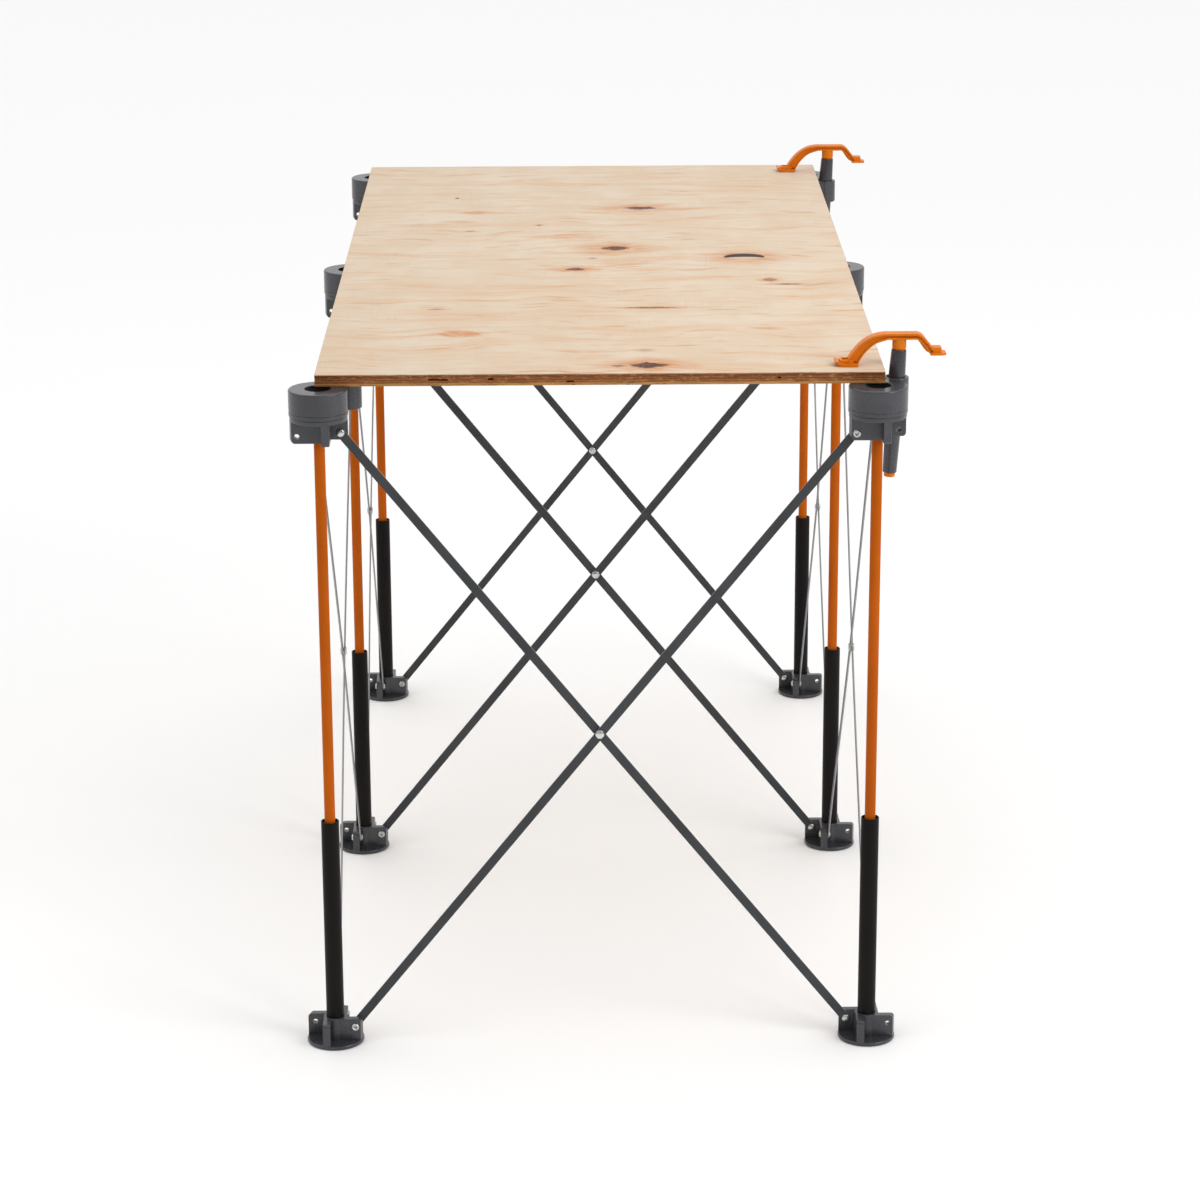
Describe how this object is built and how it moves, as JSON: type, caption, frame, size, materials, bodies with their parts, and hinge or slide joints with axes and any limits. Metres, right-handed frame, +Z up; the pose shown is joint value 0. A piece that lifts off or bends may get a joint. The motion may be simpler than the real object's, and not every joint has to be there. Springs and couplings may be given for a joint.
{
  "type": "folding sawhorse",
  "caption": "Expanding lattice work stand: telescoping legs joined by crossed flat arms, round plastic heads and feet, two hold-down clamps on a plywood sheet.",
  "frame": {"origin": "on the floor, under the middle of the whole object's box", "axes": "+X across the stand towards the side with the clamps, +Y along the stand from its front to its rear legs, +Z up"},
  "size_m": [0.7073, 1.2771, 0.8064],
  "materials": {
    "grey_plastic": "satin moulded, mid-dark grey",
    "orange_plastic": "satin moulded, bright orange",
    "orange_paint": "satin powder coat, orange",
    "black_paint": "satin powder coat, near black",
    "grey_paint": "satin powder coat, dark grey",
    "zinc": "bright zinc plated",
    "plywood": "bare sanded softwood plywood"
  },
  "bodies": {
    "lower_front_left": {"foot_front_left": "grey_plastic", "lower_leg_front_left": "black_paint"},
    "upper_front_left": {"upper_leg_front_left": "orange_paint", "head_hub_front_left": "grey_plastic", "head_cap_front_left": "grey_plastic"},
    "lower_middle_left": {"foot_middle_left": "grey_plastic", "lower_leg_middle_left": "black_paint"},
    "upper_middle_left": {"upper_leg_middle_left": "orange_paint", "head_hub_middle_left": "grey_plastic", "head_cap_middle_left": "grey_plastic"},
    "lower_rear_left": {"foot_rear_left": "grey_plastic", "lower_leg_rear_left": "black_paint"},
    "upper_rear_left": {"upper_leg_rear_left": "orange_paint", "head_hub_rear_left": "grey_plastic", "head_cap_rear_left": "grey_plastic"},
    "lower_front_right": {"foot_front_right": "grey_plastic", "lower_leg_front_right": "black_paint"},
    "upper_front_right": {"upper_leg_front_right": "orange_paint", "head_hub_front_right": "grey_plastic", "head_cap_front_right": "grey_plastic"},
    "lower_middle_right": {"foot_middle_right": "grey_plastic", "lower_leg_middle_right": "black_paint"},
    "upper_middle_right": {"upper_leg_middle_right": "orange_paint", "head_hub_middle_right": "grey_plastic", "head_cap_middle_right": "grey_plastic"},
    "lower_rear_right": {"foot_rear_right": "grey_plastic", "lower_leg_rear_right": "black_paint"},
    "upper_rear_right": {"upper_leg_rear_right": "orange_paint", "head_hub_rear_right": "grey_plastic", "head_cap_rear_right": "grey_plastic"},
    "cross_front_a": {"cross_arm_front_a": "grey_paint", "cross_rivet_front": "zinc"},
    "cross_front_b": {"cross_arm_front_b": "grey_paint"},
    "cross_middle_a": {"cross_arm_middle_a": "grey_paint", "cross_rivet_middle": "zinc"},
    "cross_middle_b": {"cross_arm_middle_b": "grey_paint"},
    "cross_rear_a": {"cross_arm_rear_a": "grey_paint", "cross_rivet_rear": "zinc"},
    "cross_rear_b": {"cross_arm_rear_b": "grey_paint"},
    "side_front_left_a": {"side_arm_front_left_a": "grey_paint", "side_rivet_front_left": "zinc"},
    "side_front_left_b": {"side_arm_front_left_b": "grey_paint"},
    "side_rear_left_a": {"side_arm_rear_left_a": "grey_paint", "side_rivet_rear_left": "zinc"},
    "side_rear_left_b": {"side_arm_rear_left_b": "grey_paint"},
    "side_front_right_a": {"side_arm_front_right_a": "grey_paint", "side_rivet_front_right": "zinc"},
    "side_front_right_b": {"side_arm_front_right_b": "grey_paint"},
    "side_rear_right_a": {"side_arm_rear_right_a": "grey_paint", "side_rivet_rear_right": "zinc"},
    "side_rear_right_b": {"side_arm_rear_right_b": "grey_paint"},
    "panel": {"worktop_panel": "plywood"},
    "clamp_barrel_front": {"clamp_barrel_front": "grey_plastic"},
    "clamp_shaft_front": {"clamp_shaft_front": "orange_plastic"},
    "clamp_arm_front": {"clamp_arm_front": "orange_plastic"},
    "clamp_barrel_rear": {"clamp_barrel_rear": "grey_plastic"},
    "clamp_shaft_rear": {"clamp_shaft_rear": "orange_plastic"},
    "clamp_arm_rear": {"clamp_arm_rear": "orange_plastic"}
  },
  "joints": [
    {"name": "fold", "type": "hinge", "parent": "lower_middle_right", "child": "cross_middle_a", "pos_m": [0.26185, -0.00639, 0.02], "axis": [0, 1, 0], "range_deg": [0, 36.37]},
    {"name": "fold_upper_middle_left", "type": "hinge", "parent": "cross_middle_a", "child": "upper_middle_left", "pos_m": [-0.29215, -0.00639, 0.708], "axis": [0, 1, 0], "range_deg": [-36.37, 0]},
    {"name": "fold_cross_middle_b", "type": "hinge", "parent": "cross_middle_a", "child": "cross_middle_b", "pos_m": [-0.01515, -0.00934, 0.364], "axis": [0, 1, 0], "range_deg": [-72.74, 0]},
    {"name": "fold_upper_middle_right", "type": "hinge", "parent": "cross_middle_b", "child": "upper_middle_right", "pos_m": [0.26185, -0.01229, 0.708], "axis": [0, 1, 0], "range_deg": [0, 36.37]},
    {"name": "fold_lower_middle_left", "type": "hinge", "parent": "cross_middle_b", "child": "lower_middle_left", "pos_m": [-0.29215, -0.01229, 0.02], "axis": [0, 1, 0], "range_deg": [0, 36.37]},
    {"name": "fold_side_front_left_a", "type": "hinge", "parent": "lower_middle_left", "child": "side_front_left_a", "pos_m": [-0.3181, -0.03234, 0.02], "axis": [1, 0, 0], "range_deg": [-36.37, 0]},
    {"name": "fold_side_front_left_b", "type": "hinge", "parent": "side_front_left_a", "child": "side_front_left_b", "pos_m": [-0.31515, -0.30934, 0.364], "axis": [1, 0, 0], "range_deg": [0, 72.74]},
    {"name": "fold_side_rear_left_b", "type": "hinge", "parent": "lower_middle_left", "child": "side_rear_left_b", "pos_m": [-0.3122, 0.01366, 0.02], "axis": [1, 0, 0], "range_deg": [0, 36.37]},
    {"name": "fold_side_rear_left_a", "type": "hinge", "parent": "side_rear_left_b", "child": "side_rear_left_a", "pos_m": [-0.31515, 0.29066, 0.364], "axis": [1, 0, 0], "range_deg": [-72.74, 0]},
    {"name": "fold_side_front_right_a", "type": "hinge", "parent": "lower_middle_right", "child": "side_front_right_a", "pos_m": [0.2819, -0.03234, 0.02], "axis": [1, 0, 0], "range_deg": [-36.37, 0]},
    {"name": "fold_upper_front_right", "type": "hinge", "parent": "side_front_right_a", "child": "upper_front_right", "pos_m": [0.2819, -0.58634, 0.708], "axis": [1, 0, 0], "range_deg": [0, 36.37]},
    {"name": "fold_side_front_right_b", "type": "hinge", "parent": "side_front_right_a", "child": "side_front_right_b", "pos_m": [0.28485, -0.30934, 0.364], "axis": [1, 0, 0], "range_deg": [0, 72.74]},
    {"name": "fold_lower_front_right", "type": "hinge", "parent": "side_front_right_b", "child": "lower_front_right", "pos_m": [0.2878, -0.58634, 0.02], "axis": [1, 0, 0], "range_deg": [-36.37, 0]},
    {"name": "fold_cross_front_a", "type": "hinge", "parent": "lower_front_right", "child": "cross_front_a", "pos_m": [0.26185, -0.60639, 0.02], "axis": [0, 1, 0], "range_deg": [0, 36.37]},
    {"name": "fold_upper_front_left", "type": "hinge", "parent": "cross_front_a", "child": "upper_front_left", "pos_m": [-0.29215, -0.60639, 0.708], "axis": [0, 1, 0], "range_deg": [-36.37, 0]},
    {"name": "fold_cross_front_b", "type": "hinge", "parent": "cross_front_a", "child": "cross_front_b", "pos_m": [-0.01515, -0.60934, 0.364], "axis": [0, 1, 0], "range_deg": [-72.74, 0]},
    {"name": "fold_lower_front_left", "type": "hinge", "parent": "cross_front_b", "child": "lower_front_left", "pos_m": [-0.29215, -0.61229, 0.02], "axis": [0, 1, 0], "range_deg": [0, 36.37]},
    {"name": "fold_side_rear_right_b", "type": "hinge", "parent": "lower_middle_right", "child": "side_rear_right_b", "pos_m": [0.2878, 0.01366, 0.02], "axis": [1, 0, 0], "range_deg": [0, 36.37]},
    {"name": "fold_upper_rear_right", "type": "hinge", "parent": "side_rear_right_b", "child": "upper_rear_right", "pos_m": [0.2878, 0.56766, 0.708], "axis": [1, 0, 0], "range_deg": [-36.37, 0]},
    {"name": "fold_side_rear_right_a", "type": "hinge", "parent": "side_rear_right_b", "child": "side_rear_right_a", "pos_m": [0.28485, 0.29066, 0.364], "axis": [1, 0, 0], "range_deg": [-72.74, 0]},
    {"name": "fold_lower_rear_right", "type": "hinge", "parent": "side_rear_right_a", "child": "lower_rear_right", "pos_m": [0.2819, 0.56766, 0.02], "axis": [1, 0, 0], "range_deg": [0, 36.37]},
    {"name": "fold_cross_rear_a", "type": "hinge", "parent": "lower_rear_right", "child": "cross_rear_a", "pos_m": [0.26185, 0.59361, 0.02], "axis": [0, 1, 0], "range_deg": [0, 36.37]},
    {"name": "fold_upper_rear_left", "type": "hinge", "parent": "cross_rear_a", "child": "upper_rear_left", "pos_m": [-0.29215, 0.59361, 0.708], "axis": [0, 1, 0], "range_deg": [-36.37, 0]},
    {"name": "fold_cross_rear_b", "type": "hinge", "parent": "cross_rear_a", "child": "cross_rear_b", "pos_m": [-0.01515, 0.59066, 0.364], "axis": [0, 1, 0], "range_deg": [-72.74, 0]},
    {"name": "fold_lower_rear_left", "type": "hinge", "parent": "cross_rear_b", "child": "lower_rear_left", "pos_m": [-0.29215, 0.58771, 0.02], "axis": [0, 1, 0], "range_deg": [0, 36.37]},
    {"name": "panel_slide_off", "type": "slide", "parent": "upper_middle_right", "child": "panel", "axis": [-1, 0, 0], "range_m": [0, 0.62]},
    {"name": "clamp_lift_out_front", "type": "slide", "parent": "upper_front_right", "child": "clamp_barrel_front", "axis": [0.055, 0, 0.9985], "range_m": [0, 0.14]},
    {"name": "clamp_height_front", "type": "slide", "parent": "clamp_barrel_front", "child": "clamp_shaft_front", "axis": [0.055, 0, 0.9985], "range_m": [0, 0.035]},
    {"name": "clamp_swivel_front", "type": "hinge", "parent": "clamp_shaft_front", "child": "clamp_arm_front", "pos_m": [0.30974, -0.57081, 0.791], "axis": [0, 0, 1], "range_deg": [-180, 180]},
    {"name": "clamp_lift_out_rear", "type": "slide", "parent": "upper_rear_right", "child": "clamp_barrel_rear", "axis": [0.055, 0, 0.9985], "range_m": [0, 0.14]},
    {"name": "clamp_height_rear", "type": "slide", "parent": "clamp_barrel_rear", "child": "clamp_shaft_rear", "axis": [0.055, 0, 0.9985], "range_m": [0, 0.035]},
    {"name": "clamp_swivel_rear", "type": "hinge", "parent": "clamp_shaft_rear", "child": "clamp_arm_rear", "pos_m": [0.30974, 0.55212, 0.791], "axis": [0, 0, 1], "range_deg": [-180, 180]}
  ],
  "couplings": [
    {"joint": "fold_upper_middle_left", "follows": "fold", "ratio": -1},
    {"joint": "fold_cross_middle_b", "follows": "fold", "ratio": -2},
    {"joint": "fold_upper_middle_right", "follows": "fold", "ratio": 1},
    {"joint": "fold_lower_middle_left", "follows": "fold", "ratio": 1},
    {"joint": "fold_side_front_left_a", "follows": "fold", "ratio": -1},
    {"joint": "fold_side_front_left_b", "follows": "fold", "ratio": 2},
    {"joint": "fold_side_rear_left_b", "follows": "fold", "ratio": 1},
    {"joint": "fold_side_rear_left_a", "follows": "fold", "ratio": -2},
    {"joint": "fold_side_front_right_a", "follows": "fold", "ratio": -1},
    {"joint": "fold_upper_front_right", "follows": "fold", "ratio": 1},
    {"joint": "fold_side_front_right_b", "follows": "fold", "ratio": 2},
    {"joint": "fold_lower_front_right", "follows": "fold", "ratio": -1},
    {"joint": "fold_cross_front_a", "follows": "fold", "ratio": 1},
    {"joint": "fold_upper_front_left", "follows": "fold", "ratio": -1},
    {"joint": "fold_cross_front_b", "follows": "fold", "ratio": -2},
    {"joint": "fold_lower_front_left", "follows": "fold", "ratio": 1},
    {"joint": "fold_side_rear_right_b", "follows": "fold", "ratio": 1},
    {"joint": "fold_upper_rear_right", "follows": "fold", "ratio": -1},
    {"joint": "fold_side_rear_right_a", "follows": "fold", "ratio": -2},
    {"joint": "fold_lower_rear_right", "follows": "fold", "ratio": 1},
    {"joint": "fold_cross_rear_a", "follows": "fold", "ratio": 1},
    {"joint": "fold_upper_rear_left", "follows": "fold", "ratio": -1},
    {"joint": "fold_cross_rear_b", "follows": "fold", "ratio": -2},
    {"joint": "fold_lower_rear_left", "follows": "fold", "ratio": 1}
  ]
}
